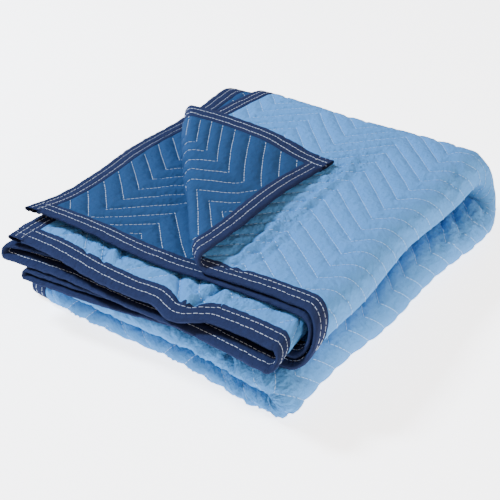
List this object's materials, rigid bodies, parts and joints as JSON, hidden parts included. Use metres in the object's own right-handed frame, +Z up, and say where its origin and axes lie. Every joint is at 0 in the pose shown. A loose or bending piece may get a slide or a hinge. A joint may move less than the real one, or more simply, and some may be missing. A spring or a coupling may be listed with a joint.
{
  "type": "moving blanket",
  "caption": "Folded quilted moving pad with a light face, a darker back, tape-bound edges and one corner turned back.",
  "frame": {"origin": "middle of the pack's box on the surface that it rests on", "axes": "+Z up, through the thickness of the pack; +Y along the blanket's length, away from the bound edges at the front; +X along its width, towards the side bends"},
  "size_m": [0.4506, 0.5531, 0.1471],
  "materials": {
    "light_cloth": "light blue quilted woven cloth",
    "dark_cloth": "darker blue quilted woven cloth",
    "binding_tape": "navy woven binding tape"
  },
  "bodies": {
    "root": {"face_panel": "light_cloth", "back_panel": "dark_cloth", "binding_left": "binding_tape", "binding_right": "binding_tape", "binding_head": "binding_tape", "binding_foot": "binding_tape"}
  },
  "joints": []
}
